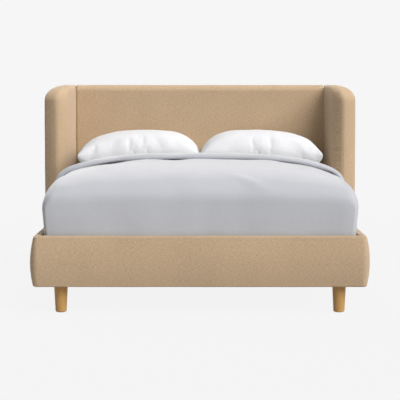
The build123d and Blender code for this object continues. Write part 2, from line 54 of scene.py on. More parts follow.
# a socket that can be added, multiplied and so on, each sum adding its Math node
class Wire:
    def __init__(self, tree, socket=None):
        self.tree = tree
        self.socket = socket

    def node(self, kind, settings=None, sockets=None, out=0):
        made = self.tree.nodes.new("ShaderNode" + kind)
        for name, value in (settings or {}).items():
            if name == "stops":
                ramp = made.color_ramp
                while len(ramp.elements) < len(value):
                    ramp.elements.new(1.0)
                for element, (place, colour) in zip(ramp.elements, value):
                    element.position = place
                    element.color = colour
            else:
                setattr(made, name, value)
        for name, value in (sockets or {}).items():
            if isinstance(value, Wire):
                self.tree.links.new(value.socket, made.inputs[name])
            else:
                made.inputs[name].default_value = value
        return Wire(self.tree, made.outputs[out])

    def math(self, operation, *values):
        return self.node("Math", {"operation": operation}, dict(enumerate(values)))

    def __add__(self, other):
        return self.math("ADD", self, other)

    def __sub__(self, other):
        return self.math("SUBTRACT", self, other)

    def __rsub__(self, other):
        return self.math("SUBTRACT", other, self)

    def __mul__(self, other):
        return self.math("MULTIPLY", self, other)

    __radd__ = __add__
    __rmul__ = __mul__

    def __pow__(self, other):
        return self.math("POWER", self, other)

    def sine(self):
        return self.math("SINE", self)

    def size(self):
        return self.math("ABSOLUTE", self)

    def above(self, limit):
        return self.math("GREATER_THAN", self, limit)

    # 0 below low, 1 above high, smooth between
    def step(self, low, high):
        return self.node("MapRange", {"interpolation_type": "SMOOTHSTEP"}, {0: self, 1: low, 2: high})

    def axis(self, index):
        return self.node("SeparateXYZ", {}, {0: self}, index)

    def scaled(self, x, y, z):
        return self.node("VectorMath", {"operation": "MULTIPLY"}, {0: self, 1: (x, y, z)})

    def noise(self, scale, detail=2.0, roughness=0.5):
        return self.node("TexNoise", {}, {"Vector": self, "Scale": scale, "Detail": detail, "Roughness": roughness})

    def mix(self, first, second):
        return self.node("Mix", {"data_type": "RGBA"}, {0: self, 6: first, 7: second}, 2)

    def ramp(self, *stops):
        return self.node("ValToRGB", {"stops": stops}, {0: self})

    def bump(self, distance, strength=1.0, normal=None):
        sockets = {"Height": self, "Distance": distance, "Strength": strength}
        if normal:
            sockets["Normal"] = normal
        return self.node("Bump", {}, sockets)


def newFinish(name):
    material = bpy.data.materials.new(name)
    material.use_nodes = True
    tree = material.node_tree
    place = Wire(tree).node("TexCoord", {}, {}, "Object")
    return material, place


def setFinish(material, values):
    shader = material.node_tree.nodes["Principled BSDF"]
    for name, value in values.items():
        if isinstance(value, Wire):
            material.node_tree.links.new(value.socket, shader.inputs[name])
        else:
            shader.inputs[name].default_value = value
    return material


linen = {
    "shade": toLinear(193, 166, 134),
    "dark": toLinear(167, 140, 108),
    "light": toLinear(214, 190, 160),
    "thread": 0.0017, "fleckScale": 260.0,
    "slubShare": 0.36, "endShare": 0.28, "fleckShare": 0.36,
    "relief": 0.0009, "sheen": 0.18,
}


# coordinates along the two threads of a cloth, on upright and on level faces alike, and its weave
def threadPlaces(place, thread):
    up = place.node("NewGeometry", {}, {}, "Normal").axis(2).size().above(0.72)
    x, y, z = (place.axis(index) for index in range(3))
    across = up.node("Mix", {"data_type": "FLOAT"}, {0: up, 2: x + y, 3: x}, 0)
    rise = up.node("Mix", {"data_type": "FLOAT"}, {0: up, 2: z, 3: y}, 0)
    turn = 2 * math.pi / thread
    return across, rise, (across * turn).sine() * (rise * turn).sine()


def upholsteryFinish(name, facts):
    material, place = newFinish(name)
    across, rise, weave = threadPlaces(place, facts["thread"])
    flat = place.node("CombineXYZ", {}, {0: across, 1: rise})
    slubs = flat.scaled(0.14, 1.0, 1.0).noise(facts["fleckScale"] * 2, 2.0)
    ends = flat.scaled(1.0, 0.16, 1.0).noise(facts["fleckScale"] * 2, 2.0)
    flecks = flat.noise(facts["fleckScale"], 3.0, 0.7)
    cloud = place.noise(5.0, 3.0)
    tone = slubs * facts["slubShare"] + ends * facts["endShare"] + flecks * facts["fleckShare"]
    yarn = tone.ramp((0.36, facts["dark"]), (0.5, facts["shade"]), (0.64, facts["light"]))
    worn = cloud * 0.16 + 0.92
    colour = place.node("VectorMath", {"operation": "SCALE"}, {0: yarn, "Scale": worn})
    height = weave * 0.35 + slubs * 0.9 + ends * 0.7 + flecks * 0.6
    return setFinish(material, {
        "Base Color": colour,
        "Roughness": flecks * 0.12 + 0.84,
        "Normal": height.bump(facts["relief"], 0.75),
        "Sheen Weight": facts["sheen"],
        "Sheen Roughness": 0.55,
        "Specular IOR Level": 0.22,
    })


# cotton cloth; the second colour, when given, is painted light: a lighter tone on faces that look up
def cottonFinish(name, shade, thread=0.0011, quiet=1.0, sheen=0.12, paintedTopLight=None):
    material, place = newFinish(name)
    across, rise, weave = threadPlaces(place, thread)
    flat = place.node("CombineXYZ", {}, {0: across, 1: rise})
    slubs = flat.scaled(0.1, 1.0, 1.0).noise(620.0, 2.0)
    cloud = place.noise(3.5, 3.0)
    crumple = place.noise(26.0, 4.0, 0.55)
    worn = cloud * 0.05 + slubs * 0.04 + 0.955
    # painted light: faces that look up take the lighter second colour, as if lit from above
    level = place.node("NewGeometry", {}, {}, "Normal").axis(2).step(0.86, 0.998)  # 1 on faces that look up
    cloth = level.mix(shade, paintedTopLight or shade)
    colour = place.node("VectorMath", {"operation": "SCALE"}, {0: cloth, "Scale": worn})
    fine = (weave * 0.3 + slubs * 0.7).bump(0.0004, 0.5 * quiet)
    return setFinish(material, {
        "Base Color": colour,
        "Roughness": slubs * 0.1 + 0.78,
        "Normal": crumple.bump(0.004, 0.32 * quiet, fine),
        "Sheen Weight": sheen,
        "Sheen Roughness": 0.5,
        "Specular IOR Level": 0.25,
    })


# the mattress's knitted ticking, sewn down in diamonds
def tickingFinish(name, shade, thread, quilt):
    material, place = newFinish(name)
    across, rise, knit = threadPlaces(place, thread)
    half = math.pi / quilt
    puffs = (((across + rise) * half).sine().size() * ((across - rise) * half).sine().size()) ** 0.4
    soft = place.noise(6.0, 3.0)
    # the colour is darker along the sewn diamond lines, painted shade in the grooves, and varies at random with the
    # soft noise
    colour = (puffs.step(0.0, 0.35) * 0.6 + soft * 0.4).mix(toLinear(214, 212, 206), shade)
    return setFinish(material, {
        "Base Color": colour,
        "Roughness": soft * 0.1 + 0.8,
        "Normal": puffs.bump(0.006, 0.8, knit.bump(0.0004, 0.5)),
        "Sheen Weight": 0.1,
        "Specular IOR Level": 0.25,
    })


# wood with its grain along one axis: growth rings, fibres, planks of their own tone and a few knots
def woodFinish(name, axis, tones, gloss, ring=0.011, knots=True, figure=0.45):
    material, place = newFinish(name)
    stretch = [1.0, 1.0, 1.0]
    stretch[axis] = 0.045
    grain = place.scaled(*stretch)
    warp = grain.noise(9.0, 2.0)
    plank = place.scaled(*(0.0 if i == axis else 1.0 for i in range(3))).noise(7.0, 0.0)
    others = [i for i in range(3) if i != axis]
    spread = grain.axis(others[0]) + grain.axis(others[1]) * 1.3
    rings = ((spread + warp * 0.03) * (2 * math.pi / ring)).sine() * 0.5 + 0.5
    fibre = grain.noise(420.0, 3.0, 0.65)
    tone = rings * figure + fibre * 0.4 + plank * 0.25 + (0.45 - figure) / 2
    colour = tone.ramp((0.25, tones[0]), (0.55, tones[1]), (0.85, tones[2]))
    if knots:
        spots = place.scaled(*(0.35 if i == axis else 1.0 for i in range(3)))
        cells = spots.node("TexVoronoi", {}, {"Vector": spots, "Scale": 5.5, "Randomness": 1.0})
        knot = 1.0 - cells.step(0.05, 0.115)
        colour = knot.mix(colour, toLinear(120, 78, 46))
    return setFinish(material, {
        "Base Color": colour,
        "Roughness": fibre * 0.2 + gloss,
        "Normal": (fibre + rings * 0.3).bump(0.0004, 0.6),
        "Specular IOR Level": 0.4,
    })


def zincFinish():
    material, place = newFinish("zincPlate")
    mottle = place.noise(180.0, 3.0, 0.6)
    scratch = place.scaled(1.0, 1.0, 0.08).noise(900.0, 2.0)
    return setFinish(material, {
        "Base Color": mottle.ramp((0.3, toLinear(176, 176, 170)), (0.7, toLinear(212, 212, 206))),
        "Metallic": 1.0,
        "Roughness": mottle * 0.2 + scratch * 0.15 + 0.22,
        "Normal": (mottle + scratch).bump(0.0001, 0.5),
    })


def coatedFinish():
    material, place = newFinish("powderCoat")
    grit = place.noise(1400.0, 2.0)
    rub = place.noise(45.0, 4.0, 0.7).step(0.68, 0.8)
    return setFinish(material, {
        "Base Color": rub.mix(toLinear(38, 38, 41), toLinear(70, 70, 72)),
        "Roughness": grit * 0.2 + 0.46,
        "Normal": grit.bump(0.0002, 0.6),
    })


def plasticFinish():
    material, place = newFinish("mouldedPlastic")
    grain = place.noise(1100.0, 2.0)
    scuff = place.noise(70.0, 4.0, 0.7).step(0.62, 0.8)
    return setFinish(material, {
        "Base Color": scuff.mix(toLinear(30, 30, 31), toLinear(62, 61, 60)),
        "Roughness": grain * 0.15 + 0.42,
        "Normal": grain.bump(0.00015, 0.5),
    })


finishes = {
    "upholstery": upholsteryFinish("heatheredLinen", linen),
    "backCloth": upholsteryFinish("backLinen", {**linen, "shade": toLinear(180, 154, 124), "fleckScale": 320.0}),
    # the duvet's lighter colour on its up-facing faces is painted light from above
    "duvet": cottonFinish("duvetCotton", toLinear(184, 185, 190), sheen=0.4, paintedTopLight=toLinear(198, 198, 202)),
    "pillow": cottonFinish("pillowCotton", toLinear(219, 219, 221), quiet=0.9),
    "ticking": tickingFinish("tickingKnit", toLinear(226, 225, 221), 0.002, 0.1),
    "tape": cottonFinish("edgeTape", toLinear(206, 204, 198), 0.0014, 1.4),
    "webbing": cottonFinish("webbingWeave", toLinear(205, 200, 188), 0.003, 1.6),
    "pineAcross": woodFinish("pineSlat", 0, (toLinear(198, 158, 106), toLinear(222, 187, 137),
                                             toLinear(238, 210, 166)), 0.5),
    "pineAlong": woodFinish("pineBoard", 1, (toLinear(196, 156, 104), toLinear(219, 184, 134),
                                             toLinear(235, 206, 162)), 0.5),
    "oak": woodFinish("oiledOak", 2, (toLinear(168, 122, 62), toLinear(190, 146, 84), toLinear(204, 163, 102)),
                      0.34, 0.008, False, 0.15),
    "zinc": zincFinish(),
    "coated": coatedFinish(),
    "plastic": plasticFinish(),
}

# the nodes that keep their own meshes, by finish
nodeFinishes = {
    "pineAcross": ["headboard_panel", "foot_rail_board"] + [f"slat_{i:02d}" for i in range(1, 14)],
    "pineAlong": ["centre_beam"] + [
        f"{name}_{side}"
        for name in ("side_rail_board", "slat_cleat", "leg_block_front", "leg_block_rear", "wing_core")
        for side in sides],
    "oak": ["centre_leg_middle", "centre_leg_rear"] + [
        f"leg_{end}_{side}" for end in ("front", "rear") for side in sides],
    "zinc": ["wing_bolts", "leg_bolts", "corner_bolts"],
    "coated": ["beam_bracket_foot", "beam_bracket_head"] + [
        f"corner_bracket_{end}_{side}" for end in ("front", "rear") for side in sides],
    "plastic": ["leg_glides", "levelling_foot_middle", "levelling_foot_rear"],
}
for finish, names in nodeFinishes.items():
    for name in names:
        mesh = nodes[name].data
        mesh.materials.clear()
        mesh.materials.append(finishes[finish])
print("finishes made")


joinReach, cutReach = 0.00002, 0.00001  # metres; points nearer than the first are joined


def newPiece(name, points, faces, finish, smooth=40):
    mesh = bpy.data.meshes.new(name)
    mesh.from_pydata([tuple(p) for p in points], [], faces)
    piece = bpy.data.objects.new(name, mesh)
    bpy.context.scene.collection.objects.link(piece)
    return dress(piece, finish, smooth)


def dress(piece, finish, smooth=40):
    piece.data.materials.clear()
    piece.data.materials.append(finishes[finish])
    if smooth:
        piece.data.shade_smooth()
        for other in bpy.context.selected_objects:
            other.select_set(False)
        bpy.context.view_layer.objects.active = piece
        piece.select_set(True)
        bpy.ops.object.shade_smooth_by_angle(angle=math.radians(smooth))
        piece.select_set(False)
    return piece


def edited(piece, work):
    form = bmesh.new()
    form.from_mesh(piece.data)
    work(form)
    form.to_mesh(piece.data)
    form.free()
    piece.data.update()
    return piece


# four-sided faces between rows of points that all have the same count
def gridFaces(rowCount, count, closed=False):
    return [(r * count + c, r * count + (c + 1) % count, (r + 1) * count + (c + 1) % count, (r + 1) * count + c)
            for r in range(rowCount - 1) for c in range(count if closed else count - 1)]


# joins points that lie together, fills the holes that are left and turns all faces outward
def closeUp(form, fill=True):
    bmesh.ops.remove_doubles(form, verts=form.verts, dist=joinReach)
    bmesh.ops.dissolve_degenerate(form, edges=form.edges, dist=cutReach)
    holes = [edge for edge in form.edges if edge.is_boundary] if fill else []
    if holes:
        bmesh.ops.holes_fill(form, edges=holes, sides=0)
    bmesh.ops.recalc_face_normals(form, faces=form.faces)


# closed skin from rows of points
def rowsPiece(name, rows, finish, closedRows=False, smooth=60):
    points = [p for row in rows for p in row]
    piece = newPiece(name, points, gridFaces(len(rows), len(rows[0]), closedRows), finish, 0)
    edited(piece, closeUp)
    return dress(piece, finish, smooth)


# a fine copy of a padded CAD node, cut by planes a step apart so that its skin can be moved
def fineCopy(node, name, step):
    piece = bpy.data.objects.new(name, nodes[node].data.copy())
    bpy.context.scene.collection.objects.link(piece)
    low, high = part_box(node)

    def cut(form):
        bmesh.ops.remove_doubles(form, verts=form.verts, dist=joinReach)
        bmesh.ops.dissolve_limit(form, angle_limit=math.radians(0.5), verts=form.verts, edges=form.edges)
        for axis in range(3):
            normal = Vector([1.0 if i == axis else 0.0 for i in range(3)])
            for place in np.arange(low[axis] + step / 2, high[axis], step):
                geometry = form.verts[:] + form.edges[:] + form.faces[:]
                bmesh.ops.bisect_plane(form, geom=geometry, dist=cutReach, plane_co=normal * place, plane_no=normal)
        bmesh.ops.triangulate(form, faces=[face for face in form.faces if len(face.verts) > 4])

    return edited(piece, cut)


# a short cloth simulation that swells a closed skin, each point moving no further than a cap
def swollen(piece, facts, pinned):
    scene = bpy.context.scene
    remesh = piece.modifiers.new("even", "REMESH")
    remesh.mode = "VOXEL"
    remesh.voxel_size = facts["voxel"]
    view = piece.evaluated_get(bpy.context.evaluated_depsgraph_get())
    even = bpy.data.meshes.new_from_object(view)
    piece.modifiers.clear()
    piece.data = even
    start = [vertex.co.copy() for vertex in piece.data.vertices]
    cloth = piece.modifiers.new("cloth", "CLOTH")
    group = piece.vertex_groups.new(name="held")
    group.add([i for i, place in enumerate(start) if pinned(place)], 1.0, "REPLACE")
    cloth.settings.vertex_group_mass = "held"
    cloth.settings.quality = 4
    cloth.settings.tension_stiffness = facts["stiff"]
    cloth.settings.compression_stiffness = facts["stiff"]
    cloth.settings.shear_stiffness = facts["stiff"] / 3
    cloth.settings.bending_stiffness = facts["bend"]
    cloth.settings.shrink_min = -facts["slack"]
    cloth.settings.use_pressure = True
    cloth.settings.uniform_pressure_force = facts["pressure"]
    cloth.settings.effector_weights.gravity = 0
    cloth.collision_settings.use_collision = False
    cloth.point_cache.frame_start = 1
    cloth.point_cache.frame_end = facts["frames"]
    for step in range(1, facts["frames"] + 1):
        scene.frame_set(step)
    view = piece.evaluated_get(bpy.context.evaluated_depsgraph_get())
    moved = [vertex.co.copy() for vertex in view.data.vertices]
    piece.modifiers.clear()
    scene.frame_set(1)
    for vertex, place, target in zip(piece.data.vertices, start, moved):
        step = target - place
        reach = step.length
        if reach > 1e-9:
            vertex.co = place + step * (facts["cap"] * math.tanh(reach / facts["cap"]) / reach)
    piece.data.update()


# waves in a stretched skin, in metres
def softWave(point, size, seed):
    return noise.noise(Vector(point) / size + Vector((seed, seed * 0.7, seed * 1.3)))


# moves a skin along its own outward direction, by a wave that each point gives
def crease(piece, wave, skip):
    piece.data.update()
    moves = [Vector() if skip(vertex.co) else vertex.normal * wave(vertex.co) for vertex in piece.data.vertices]
    for vertex, move in zip(piece.data.vertices, moves):
        vertex.co += move
    piece.data.update()


padding = {
    "step": 0.02, "swell": 0.0012, "ripple": 0.0007, "railLow": 0.134, "railHigh": 0.3865,
    "boardStep": 0.03, "boardSwell": 0.0015, "boardBack": 1.05,
}


# the foam and fabric of a node, a little uneven wherever it doesn't lie on a board
def padCopy(node, name, inside, swell, step=padding["step"]):
    piece = fineCopy(node, name, step)
    crease(piece, lambda point: swell(point) + padding["ripple"] * softWave(point, 0.16, 3.1), inside)
    dress(piece, "upholstery", 50)
    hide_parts(node)
    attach(piece, "frame")


# whether a point lies in a node's own room or on its faces
def within(names, margin=0.0006):
    boxes = [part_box(name) for name in names]

    def test(point):
        return any(all(low[i] - margin <= point[i] <= high[i] + margin for i in range(3)) for low, high in boxes)

    return test


boards = [f"side_rail_board_{side}" for side in sides] + ["foot_rail_board", "headboard_panel"]
inBoard = within(boards)


def railSwell(point):
    level = padding["railLow"] <= point.z <= padding["railHigh"]
    return padding["swell"] * softWave(point, 0.35, 1.7) if level else 0.0


def boardSwell(point):
    return padding["boardSwell"] * softWave(point, 0.3, 5.0) if point.y < padding["boardBack"] else 0.0


padCopy("foot_rail_cover", "footRailCover", inBoard, railSwell)
for side in sides:
    padCopy(f"side_rail_cover_{side}", f"sideRailCover_{side}", inBoard, railSwell)
    padCopy(f"headboard_end_cover_{side}", f"headboardEndCover_{side}", inBoard, railSwell)
padCopy("headboard_pad", "headboardPad", within(["headboard_panel"]), boardSwell, padding["boardStep"])


# the cloth stretched over the back, stapled to the board
backForm = {
    "width": 1.632, "length": 0.992, "area": 1.55, "ripple": 0.0006, "face": 1.0965,
    "inset": 0.012, "reach": 0.0115, "footHalf": 0.8045, "footTop": 0.377, "top": 1.118,
    "step": 0.05, "near": 0.002, "level": 0.0005,
}


# it is drawn out to the board's own edges
def makeBackCover():
    f = backForm
    piece = fineCopy("headboard_back_cover", "headboardBackCover", f["step"])
    for vertex in piece.data.vertices:
        x, y, z = vertex.co
        aboveFoot = z > f["footTop"] - f["level"] and abs(abs(x) - betweenWings(y) + f["inset"]) < f["near"]
        atFoot = z < f["footTop"] + f["level"] and abs(abs(x) - f["footHalf"]) < f["near"]
        if aboveFoot or atFoot:
            vertex.co.x += math.copysign(f["reach"], x)
        if z > f["top"] - f["level"]:
            vertex.co.z += f["reach"]
        if y > f["face"]:
            vertex.co.y += f["ripple"] * softWave(vertex.co, 0.3, 6.0)
    dress(piece, "backCloth", 50)
    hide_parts("headboard_back_cover")
    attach(piece, "frame")


wingForm = {
    "face": 1.0065, "back": 1.0985, "top": 1.13, "low": 0.3875, "half": 0.773,
    "flare": math.radians(8), "outerFlare": math.radians(15), "backThick": 0.096,
    "straight": 0.195, "nose": 0.134, "turn": math.radians(52), "noseWidth": 0.127,
    "bandTurn": math.radians(23.5), "edge": 0.03, "topOuter": 0.085, "topBack": 0.05, "topInner": 0.034,
    "corner": 0.11, "seamDeep": 0.006, "crown": 0.003, "ripple": 0.0011, "onBoard": 1.0, "boardReach": 0.0007,
    "footRound": 0.006, "footReach": 0.012, "footInset": (0.12, 0.06, 0.003), "footRises": (0.006, 0.002, 0.0),
    "topRows": 20, "sideRows": 34, "topFade": 0.02, "crownFade": 0.05,
}
# the points of its outline: along the inner side, round the nose, on the front band, round the outer
# edge, along the outer side and across the back
noseSpots = [k / 20 for k in range(19)] + [0.97, 0.985, 0.994]
bandSpots = [0.0, 0.01, 0.025, 0.05, 0.12, 0.26, 0.42, 0.6, 0.8]
seamGroove = (1.0, 0.75, 0.4, 0.12)
sideCuts, edgeCuts, backCuts = 22, 9, 8
seamAt = sideCuts + len(noseSpots)
bandEnd = seamAt + len(bandSpots)
outerStart = bandEnd + edgeCuts
backStart = outerStart + sideCuts


def drawnIn(radius, depth):
    return radius - math.sqrt(radius**2 - max(0.0, radius - depth) ** 2)


def betweenWings(y):
    return wingForm["half"] - (y - wingForm["face"]) * math.tan(wingForm["flare"])


# outline of the right wing at a depth below its top, as points that run from the back of the inner
# side round the nose, over the seam and the front band to the back of the outer side
def wingOutline(depth):
    f = wingForm
    innerIn, outerIn, backIn = (drawnIn(f[name], depth) for name in ("topInner", "topOuter", "topBack"))
    share = 1 - (innerIn + outerIn) / f["noseWidth"]
    radius, edge = f["nose"] * share, f["edge"] * share
    shift = innerIn / math.cos(f["flare"])
    turnY = f["face"] - f["straight"] + drawnIn(f["corner"], depth)
    start = (betweenWings(turnY) + shift, turnY)

    def nosePoint(heading):
        return (start[0] + radius * (math.cos(f["flare"]) - math.cos(heading)),
                start[1] - radius * (math.sin(heading) - math.sin(f["flare"])))

    seam = nosePoint(f["flare"] + f["turn"])
    band, lean = f["bandTurn"], math.tan(f["outerFlare"])
    plainX = betweenWings(f["back"]) + f["backThick"]
    frontX = plainX - outerIn / math.cos(f["outerFlare"])
    backX = plainX - backIn / math.cos(f["outerFlare"])
    run = (frontX + (f["back"] - seam[1]) * lean - seam[0]) / (1 + math.tan(band) * lean)
    corner = (seam[0] + run, seam[1] + run * math.tan(band))
    cut = edge * math.tan((math.pi / 2 + f["outerFlare"] - band) / 2)
    edgeStart = (corner[0] - cut * math.cos(band), corner[1] - cut * math.sin(band))
    edgeEnd = (corner[0] - cut * math.sin(f["outerFlare"]), corner[1] + cut * math.cos(f["outerFlare"]))
    centre = (edgeStart[0] - edge * math.sin(band), edgeStart[1] + edge * math.cos(band))
    innerBack = (betweenWings(f["back"]) + shift, f["back"])

    def line(a, b, count):
        return [(a[0] + (b[0] - a[0]) * k / count, a[1] + (b[1] - a[1]) * k / count) for k in range(count)]

    points = line(innerBack, start, sideCuts)
    points += [nosePoint(f["flare"] + f["turn"] * t) for t in noseSpots]
    points += [(seam[0] + (edgeStart[0] - seam[0]) * t, seam[1] + (edgeStart[1] - seam[1]) * t) for t in bandSpots]
    for k in range(edgeCuts):
        angle = band - math.pi / 2 + ((math.pi / 2 + f["outerFlare"] - band) * k / edgeCuts)
        points.append((centre[0] + edge * math.cos(angle), centre[1] + edge * math.sin(angle)))
    points += line(edgeEnd, (backX, f["back"]), sideCuts)
    return points + line((backX, f["back"]), innerBack, backCuts)


# how far along its own face each point of the outline lies, from 0 to 1
def faceShare(index):
    if index < sideCuts:
        return index / (2 * sideCuts)
    if index < seamAt:
        return 0.5 + noseSpots[index - sideCuts] / 2
    if index < bandEnd:
        return bandSpots[index - seamAt]
    return (index - outerStart) / sideCuts if outerStart <= index < backStart else 0.0


# rows of the outline from the top down, with a crown and a ripple, and a groove at the seam
def makeWing(side, sign):
    f = wingForm
    height = f["top"] - f["low"]
    tops = f["topRows"]
    depths = [0.0] + [f["corner"] * (1 - math.cos(math.pi / 2 * k / tops)) for k in range(1, tops + 1)]
    depths += list(np.linspace(f["corner"], height - f["footReach"], f["sideRows"]))[1:]
    depths += [height - rise for rise in f["footRises"]]
    rows = []
    for depth in depths:
        outline = wingOutline(depth)
        z = f["top"] - depth
        count = len(outline)
        middle = (sum(x for x, y in outline) / count, sum(y for x, y in outline) / count)
        low = max(0.0, 1 - (height - depth) / f["footReach"])
        row = []
        for index, (x, y) in enumerate(outline):
            ahead, past = outline[(index + 1) % count], outline[index - 1]
            out = Vector((ahead[1] - past[1], past[0] - ahead[0], 0)).normalized()
            if out.dot(Vector((x - middle[0], y - middle[1], 0))) < 0:
                out = -out
            gap = abs(index - seamAt)
            move = -f["seamDeep"] * seamGroove[gap] if gap < len(seamGroove) else 0.0
            if index < backStart:
                move += f["crown"] * math.sin(math.pi * faceShare(index)) * min(1.0, depth / f["crownFade"])
                move += f["ripple"] * softWave((x, y, z), 0.16, 4.4 + sign)
            move *= min(1.0, depth / f["topFade"])
            onBoard = index < sideCuts and y > f["onBoard"]
            if not onBoard and index < backStart + backCuts / 2:
                move -= f["footRound"] * low**2
            if onBoard:
                move = max(move, f["boardReach"])
            elif index >= backStart:
                move = min(move, 0.0)
            point = Vector((x, y, z)) + out * move
            row.append(Vector((sign * point.x, min(point.y, f["back"]), point.z)))
        rows.append(row)
    inX, inY, rise = f["footInset"]
    rows.append([Vector((p.x + (sign * middle[0] - p.x) * inX, p.y + (middle[1] - p.y) * inY, f["low"] + rise))
                 for p in rows[-1]])
    piece = rowsPiece(f"wingPad_{side}", rows, "upholstery", True, 70)
    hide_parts(f"wing_pad_{side}")
    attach(piece, "frame")


for side, sign in sides.items():
    makeWing(side, sign)
makeBackCover()
print("upholstery made")


duvetForm = {
    "hem": 0.345, "half": 0.788, "tuck": 0.012, "top": 0.72, "sideRise": 0.195, "inset": 0.088, "drop": 0.065,
    "rollShare": 0.17, "crownPower": 3.6, "foldLine": 0.3015, "faceLine": -1.0425, "cuffLine": -0.1485,
    "rollReach": 0.4, "rollPower": 2.0, "footShare": 0.56, "slopeReach": 0.5, "slopePower": 1.3,
    "footDrop": 0.18, "footRise": 0.85, "footInset": 0.45, "cornerReach": 0.045, "cornerPull": 0.024,
    "foldReach": 0.055, "foldDrop": 0.09, "foldPull": 0.008,
    "footRows": 14, "footSpread": 0.9, "footBulge": 0.0024, "rollRows": 22, "rollSpread": 1.9,
    "topRows": 42, "topEnd": 0.06, "foldRows": 8, "hemStill": 0.002,
    "mattressHalf": 0.7623, "mattressTop": 0.5903, "mattressFoot": -1.0293, "mattressEdge": 0.0483,
    "mattressCorner": 0.09,
}
drapeCuts, shoulderCuts, crownCuts = 14, 16, 46  # points of each part of its outline


# 0 at the start and 1 past the reach, steep at first
def easeIn(distance, reach, power):
    left = max(0.0, 1.0 - distance / reach)
    return (1 - left**power) ** (1 / power)


# points along an arc through three points
def arcPoints(a, b, c, count):
    ax, ay, bx, by, cx, cy = *a, *b, *c
    d = 2 * (ax * (by - cy) + bx * (cy - ay) + cx * (ay - by))
    ux = ((ax * ax + ay * ay) * (by - cy) + (bx * bx + by * by) * (cy - ay) + (cx * cx + cy * cy) * (ay - by)) / d
    uy = ((ax * ax + ay * ay) * (cx - bx) + (bx * bx + by * by) * (ax - cx) + (cx * cx + cy * cy) * (bx - ax)) / d
    radius = math.hypot(ax - ux, ay - uy)
    start, middle, end = (math.atan2(y - uy, x - ux) for x, y in (a, b, c))
    turn = (end - start) % (2 * math.pi)
    if (middle - start) % (2 * math.pi) > turn:
        turn -= 2 * math.pi
    return [(ux + radius * math.cos(start + turn * k / count), uy + radius * math.sin(start + turn * k / count))
            for k in range(count + 1)]


# half an outline from the hem to the middle of the top, as a row of points over both sides
def bothSides(drape, rolled, crown, y):
    outline = drape + rolled + crown
    left = [(-x, z) for x, z in outline[:-1]]
    return [Vector((x, y, z)) for x, z in left + outline[::-1]]


# a row of the duvet's outer skin at a distance behind its foot end
def duvetRow(distance):
    f = duvetForm
    run = f["foldLine"] - f["faceLine"]
    roll = easeIn(distance, f["rollReach"], f["rollPower"])
    slope = easeIn(distance, f["slopeReach"], f["slopePower"])
    corner = easeIn(distance, f["cornerReach"], 2)
    fold = easeIn(run - distance, f["foldReach"], 2)
    full = f["top"] - f["hem"]
    top = f["hem"] + full * (f["footShare"] + (1 - f["footShare"]) * roll) - f["foldDrop"] * (1 - fold)
    half = f["half"] - f["cornerPull"] * (1 - corner) - f["foldPull"] * (1 - fold)
    drop = f["drop"] * (f["footDrop"] + (1 - f["footDrop"]) * slope)
    foot = (half - f["tuck"], f["hem"])
    edge = (half, f["hem"] + f["sideRise"] * (f["footRise"] + (1 - f["footRise"]) * slope))
    shoulder = (half - f["inset"] * (f["footInset"] + (1 - f["footInset"]) * roll), top - drop)
    chord = (shoulder[0] - edge[0], shoulder[1] - edge[1])
    share = f["rollShare"]
    middle = (edge[0] + chord[0] / 2 + share * chord[1], edge[1] + chord[1] / 2 - share * chord[0])
    drape = [(foot[0] + (edge[0] - foot[0]) * k / drapeCuts, foot[1] + (edge[1] - foot[1]) * k / drapeCuts)
             for k in range(drapeCuts)]
    rolled = arcPoints(edge, middle, shoulder, shoulderCuts)[:-1]
    crown = [(shoulder[0] * (1 - k / crownCuts), top - drop * (1 - k / crownCuts) ** f["crownPower"])
             for k in range(crownCuts + 1)]
    return bothSides(drape, rolled, crown, f["faceLine"] + distance)


# the mattress's own outline under it, with the same count of points
def hollowRow(y):
    f = duvetForm
    half, top, radius, corner = f["mattressHalf"], f["mattressTop"], f["mattressEdge"], f["mattressCorner"]
    reach = y - f["mattressFoot"]
    if reach < radius:
        top -= radius - math.sqrt(max(0.0, radius**2 - (radius - reach) ** 2))
    if reach < corner:
        half -= corner - math.sqrt(max(0.0, corner**2 - (corner - reach) ** 2))
    drape = [(half, f["hem"] + (top - radius - f["hem"]) * k / drapeCuts) for k in range(drapeCuts)]
    middle = (half - radius * 0.293, top - radius * 0.293)
    rolled = arcPoints((half, top - radius), middle, (half - radius, top), shoulderCuts)[:-1]
    crown = [((half - radius) * (1 - k / crownCuts), top) for k in range(crownCuts + 1)]
    return bothSides(drape, rolled, crown, y)


# a row shrunk towards the middle of the hem, for the upright faces at the two ends
def shrunkRow(row, share, y):
    return [Vector((p.x * share, y, duvetForm["hem"] + (p.z - duvetForm["hem"]) * share)) for p in row]


creaseForm = {
    "slow": 0.0045, "slowSize": 0.30, "quick": 0.0022, "quickSize": 0.12,
    "footLine": -0.95, "footGather": 0.006, "footTop": 0.60, "footFade": 0.22,
    "sideLine": 0.74, "sideGather": 0.003, "sideTop": 0.62, "sideFade": 0.2,
    "hemSway": 0.006, "hemTurns": 17.5, "hemReach": 0.42, "hemDrift": 0.009, "hemBand": 0.1,
    "ridge": 0.006, "ridgeX": 0.25, "ridgeY": -0.97, "ridgeWidth": 0.02, "ridgeMiddle": 0.26,
    "ridgeSpread": (0.1, 0.14),
}


